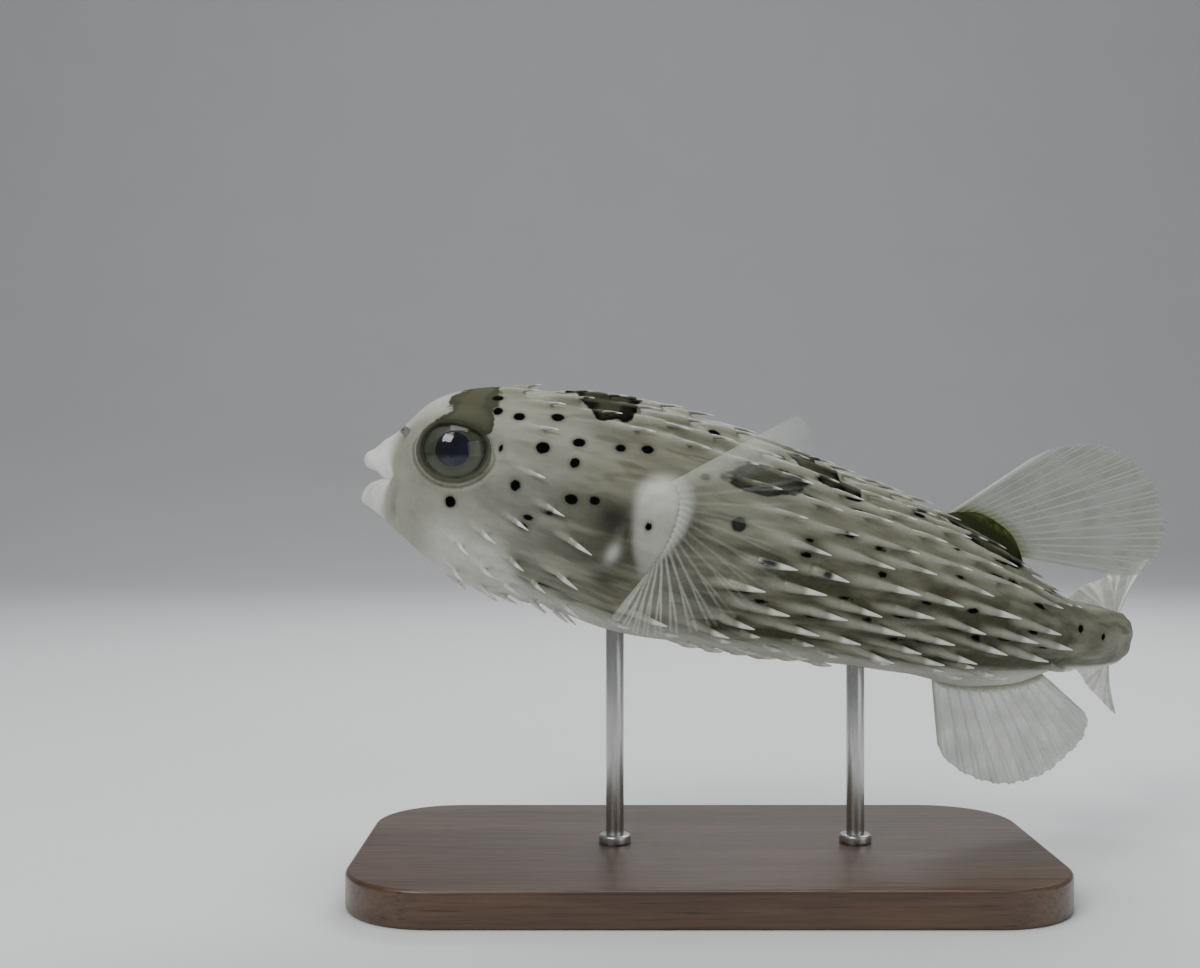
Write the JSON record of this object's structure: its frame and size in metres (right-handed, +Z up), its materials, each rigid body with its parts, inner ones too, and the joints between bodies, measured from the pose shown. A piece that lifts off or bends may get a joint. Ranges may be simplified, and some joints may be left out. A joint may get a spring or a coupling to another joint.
{
  "type": "long-spine porcupinefish",
  "caption": "Life-size porcupinefish with its spines laid back and its tail turned away, held over a flat base by slim rods.",
  "frame": {"origin": "centre of the stand base's underside, where the model rests", "axes": "+X from the fish's head towards its tail along the stand's length, +Y towards the fish's right side, to which its tail is turned, +Z up"},
  "size_m": [0.2477, 0.1411, 0.1384],
  "materials": {
    "skin": "moist speckled skin, pale below, with bony spines laid back in sheaths",
    "spine": "bare ivory-white tips of the spines",
    "beak": "ivory tooth plates",
    "eye": "wet eye, olive-gold iris and blue-black pupil",
    "fin": "thin translucent web over fine rays",
    "stand_wood": "dark oiled hardwood with satin sheen",
    "stand_metal": "satin steel rod"
  },
  "bodies": {
    "root": {"head": "skin", "trunk": "skin", "tail": "skin", "dorsal_root": "skin", "anal_root": "skin", "pectoral_root_left": "skin", "pectoral_root_right": "skin", "lip_upper": "skin", "lip_lower": "skin", "nostril_left": "skin", "nostril_right": "skin", "beak_upper": "beak", "beak_lower": "beak", "eye_left": "eye", "eye_right": "eye", "fin_dorsal": "fin", "fin_anal": "fin", "fin_caudal": "fin", "fin_pectoral_left": "fin", "fin_pectoral_right": "fin", "stand_base": "stand_wood", "stand_rod_front": "stand_metal", "stand_rod_rear": "stand_metal"}
  },
  "joints": []
}
